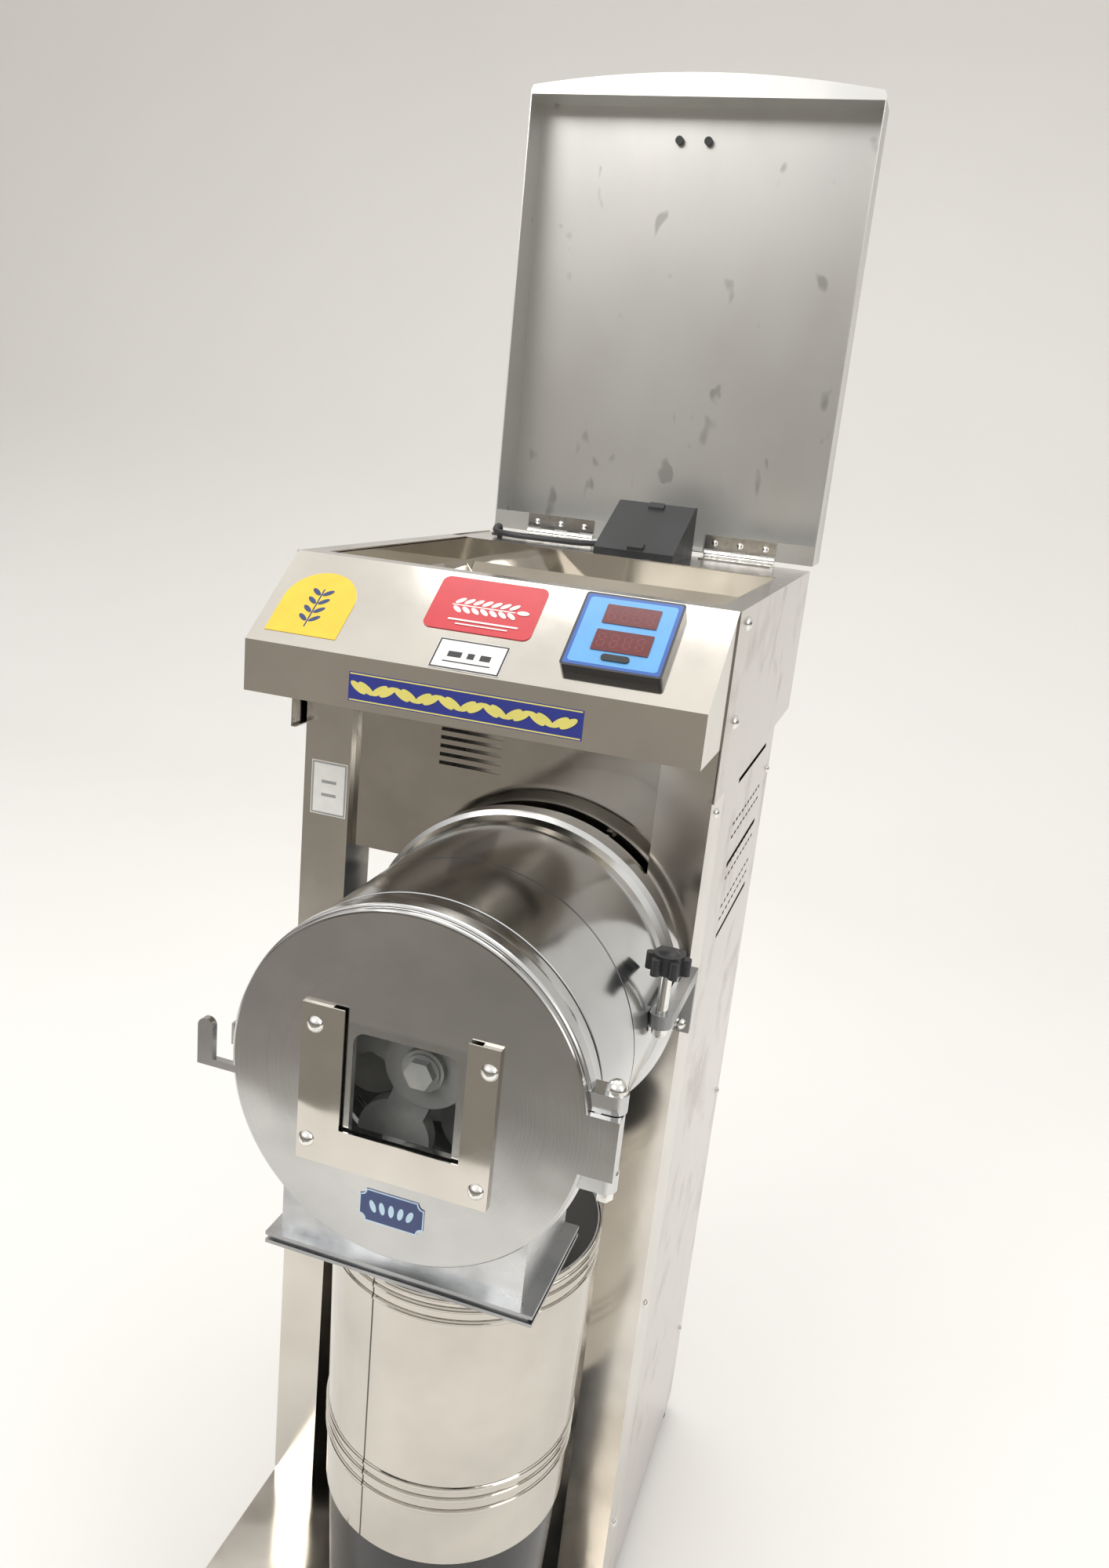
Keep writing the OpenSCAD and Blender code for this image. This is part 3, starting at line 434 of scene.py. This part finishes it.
# ---------------------------------------------------------------- outlines for the printed work, in mm
def rect(x0, y0, x1, y1, r=0.0, steps=5):
    """A rectangle, with round corners of radius r."""
    if not r:
        return [(x0, y0), (x1, y0), (x1, y1), (x0, y1)]
    corners = ((x1 - r, y1 - r, 0), (x0 + r, y1 - r, 90), (x0 + r, y0 + r, 180), (x1 - r, y0 + r, 270))
    turns = [(cx, cy, math.radians(a + k * 90 / steps)) for cx, cy, a in corners for k in range(steps + 1)]
    return [(cx + r * math.cos(t), cy + r * math.sin(t)) for cx, cy, t in turns]


def oval(cx, cy, rx, ry, tilt=0.0, steps=20):
    c, s = math.cos(math.radians(tilt)), math.sin(math.radians(tilt))
    out = []
    for k in range(steps):
        u, v = rx * math.cos(math.tau * k / steps), ry * math.sin(math.tau * k / steps)
        out.append((cx + u * c - v * s, cy + u * s + v * c))
    return out


def artwork(name, body, place, layers, lift=0.02, step=0.03):
    """Flat printed shapes laid over each other on a plate; layers are (outline, material)."""
    mesh = bpy.data.meshes.new(name)
    bm = bmesh.new()
    used = []
    for index, (outline, material) in enumerate(layers):
        if material not in used:
            used.append(material)
            mesh.materials.append(M[material])
        corners = [bm.verts.new(place @ Vector((x, y, lift + step * index))) for x, y in outline]
        face = bm.faces.new(corners)
        face.normal_update()
        if face.normal.dot(place.to_3x3() @ Vector((0, 0, 1))) < 0:
            face.normal_flip()
        face.material_index = used.index(material)
    bmesh.ops.triangulate(bm, faces=bm.faces[:])
    bm.to_mesh(mesh)
    bm.free()
    made = bpy.data.objects.new(name, mesh)
    bpy.context.scene.collection.objects.link(made)
    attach(made, body)


# ---------------------------------------------------------------- console labels
slope_plate = plate_frame(0, 0, RIM_HEIGHT, SLOPE)


def console_labels():
    middle, reach = -153.5, 5.5
    sprig = [(rect(middle - 0.7, -86, middle + 0.7, -42), "navy")]
    for k in range(4):
        for side in (-1, 1):
            sprig.append((oval(middle + side * reach, -76 + 10 * k, reach, 2.2, side * 38), "navy"))
    artwork("energy_label_print", "cabinet", slope_plate, sprig, 0.53)
    ear = [(rect(-36, -37.5, 20, -36.3), "white")]
    for k in range(7):
        x = -30 + k * 8
        ear += [(oval(x, -32.0, 5.0, 2.1, 38), "white"), (oval(x, -41.8, 5.0, 2.1, -38), "white")]
    ear += [(oval(27, -36.9, 5.4, 2.4), "white"), (rect(-34, -54.5, 28, -52.6, 0.9), "white"),
            (rect(-26, -58.6, 20, -57.2, 0.7), "white")]
    artwork("badge_print", "cabinet", slope_plate, ear, 0.83)
    rating = [(rect(-31.5, -105.5, 28.5, -74.5), "black"), (rect(-30, -104, 27, -76), "white"),
              (rect(-20, -93, -8, -87), "black"), (rect(-3, -93, 3, -87), "black"), (rect(8, -93, 17, -87), "black"),
              (rect(-22, -98.5, 19, -97.3), "black")]
    artwork("rating_print", "cabinet", slope_plate, rating, 0.63)


def display_face():
    art = [(rect(77, -87, 156, -11, 2), "deep"), (rect(80, -84, 153, -14, 3), "sky")]
    artwork("display_print", "cabinet", slope_plate, art, 9.04)
    digits = []
    for left, low, high in ((96, -41, -20.5), (95, -70, -48)):
        cell, mid, tall = 10.6, (low + high) / 2, 6.4
        for k in range(4):
            x = left + 3.2 + k * cell
            for y in (mid - tall, mid, mid + tall):
                digits.append((rect(x + 0.9, y - 0.5, x + 5.3, y + 0.5), "segment"))
            for y in (mid - tall, mid):
                for across in (x, x + 5.4):
                    digits.append((rect(across, y + 0.8, across + 0.9, y + tall - 0.8), "segment"))
    artwork("display_segments", "cabinet", slope_plate, digits, 9.85, 0.0005)


def fascia_print():
    place = plate_frame(0, -SLOPE_RUN, 0)
    middle = 1027.7
    art = [(rect(-99, 1016.2, 102, 1017.3), "lemon"), (rect(-99, 1038.2, 102, 1039.3), "lemon")]
    for k in range(10):
        x = -88 + k * 19.5
        lean = 32 if k % 2 else -32
        art += [(oval(x - 3, middle, 8.2, 3.1, lean), "lemon"), (oval(x + 4, middle, 8.2, 3.1, lean), "lemon")]
    artwork("fascia_print", "cabinet", place, art, 0.53)


def post_print():
    place = plate_frame(0, POST_FACE, 0)
    art = [(rect(-186.3, 874.2, -150.2, 925.8, 1), "grey"), (rect(-184.5, 876, -152, 924), "white"),
           (rect(-176, 905, -160.5, 908), "grey"), (rect(-176, 892, -160.5, 895), "grey")]
    artwork("post_print", "cabinet", place, art, 0.53)


def door_print():
    place = plate_frame(AXIS_X - 1, DOOR_FACE, AXIS_Z - 97.5)
    inset = 1.6
    edge = 26 - inset, 13.5 - inset
    art = []
    for thick, tone in ((0.0, "pale"), (0.9, "navy")):
        w, h, bite = edge[0] - thick, edge[1] - thick, 5.0
        ring = []
        for sx, sy, a0 in ((1, 1, 270), (-1, 1, 0), (-1, -1, 90), (1, -1, 180)):
            turn = [math.radians(a0 - k * 18) for k in range(6)]
            ring += [(sx * (w + inset) + bite * math.cos(a), sy * (h + inset) + bite * math.sin(a)) for a in turn]
        art.append((ring, tone))
    grains = ((-15, 22), (-7.5, 11), (0, 0), (7.5, -11), (15, -22))
    art += [(oval(x, 0, 2.3, 5.2, lean), "pale") for x, lean in grains]
    artwork("door_print", "door", place, art, 0.83)


console_labels()
display_face()
fascia_print()
post_print()
door_print()

# ---------------------------------------------------------------- studio
def pale_floor():
    """A plain floor that curves up into a backdrop behind the machine."""
    sweep, back, half, top = 1.2, 2.4, 4.5, 5.0
    turn = [math.radians(90 * k / 12) for k in range(13)]
    profile = [(-FLOOR_FRONT, 0.0)] + [(back + sweep * math.sin(a), sweep * (1 - math.cos(a))) for a in turn]
    profile.append((back + sweep, top))
    corners = [(x, y, z) for y, z in profile for x in (-half, half)]
    faces = [(2 * k, 2 * k + 1, 2 * k + 3, 2 * k + 2) for k in range(len(profile) - 1)]
    mesh = bpy.data.meshes.new("floor")
    mesh.from_pydata(corners, [], faces)
    mesh.shade_smooth()
    made = bpy.data.objects.new("floor", mesh)
    bpy.context.scene.collection.objects.link(made)
    s = Shader("pale_floor", (0.86, 0.855, 0.84), roughness=0.6)
    s.color(s.mix(s.noise(size=1.5, detail=3), (0.88, 0.875, 0.86), (0.84, 0.835, 0.82)))
    mesh.materials.append(s.mat)


def soft_light(name, place, aim, size, power, tint):
    data = bpy.data.lights.new(name, "AREA")
    data.shape = "RECTANGLE"
    data.size, data.size_y = size
    data.energy = power
    data.color = tint
    made = bpy.data.objects.new(name, data)
    bpy.context.scene.collection.objects.link(made)
    made.location = place
    made.rotation_euler = (Vector(aim) - Vector(place)).to_track_quat("-Z", "Y").to_euler()


# Height of the view, 0 straight down to 1 straight up, and the surround's tone there
STUDIO_TONES = ((0.0, (0.34, 0.32, 0.29)), (0.43, (0.36, 0.33, 0.29)), (0.50, (0.10, 0.088, 0.075)),
                (0.58, (0.34, 0.31, 0.28)), (0.72, (0.88, 0.86, 0.83)), (1.0, (1.15, 1.12, 1.08)))


def studio_light():
    """Plain soft studio surround: pale overhead, darker and warmer towards the horizon and below."""
    world = bpy.data.worlds.new("studio")
    bpy.context.scene.world = world
    world.use_nodes = True
    tree = world.node_tree
    new, wire = tree.nodes.new, tree.links.new
    coords = new("ShaderNodeTexCoord")
    split = new("ShaderNodeSeparateXYZ")
    wire(coords.outputs["Generated"], split.inputs[0])
    lift = new("ShaderNodeMapRange")
    lift.inputs["From Min"].default_value = -1
    wire(split.outputs["Z"], lift.inputs["Value"])
    height = new("ShaderNodeValToRGB")
    wire(lift.outputs["Result"], height.inputs["Fac"])
    ramp = height.color_ramp
    for place, tone in STUDIO_TONES[1:-1]:
        ramp.elements.new(place)
    for element, (place, tone) in zip(ramp.elements, STUDIO_TONES):
        element.position = place
        element.color = (*tone, 1)
    wire(height.outputs["Color"], tree.nodes["Background"].inputs["Color"])


def camera():
    """The viewing place: in front on the right, a little above the rim, held slightly tilted."""
    place = at(345.9, -948.2, 1238.4)
    yaw, pitch, roll = 16.79, -16.11, -5.94
    data = bpy.data.cameras.new("camera")
    data.lens = 27.24
    data.sensor_width = 36
    made = bpy.data.objects.new("camera", data)
    bpy.context.scene.collection.objects.link(made)
    turn = (Matrix.Rotation(math.radians(yaw), 4, "Z") @ Matrix.Rotation(math.radians(pitch), 4, "X")
            @ Matrix.Rotation(math.radians(roll), 4, "Y") @ Matrix.Rotation(math.pi / 2, 4, "X"))
    made.matrix_world = Matrix.Translation(place) @ turn
    bpy.context.scene.camera = made


pale_floor()
soft_light("key", (-1.3, -2.4, 3.0), (0, 0, 0.9), (2.2, 1.4), 42, (1.0, 0.98, 0.95))
soft_light("fill", (2.6, -1.2, 2.2), (0, 0, 0.8), (1.2, 2.2), 16, (1.0, 0.97, 0.93))
soft_light("top", (0.0, 0.9, 3.4), (0, 0.2, 0.8), (2.4, 2.0), 26, (1.0, 1.0, 1.0))
studio_light()
camera()
bpy.context.scene.view_settings.view_transform = "Standard"
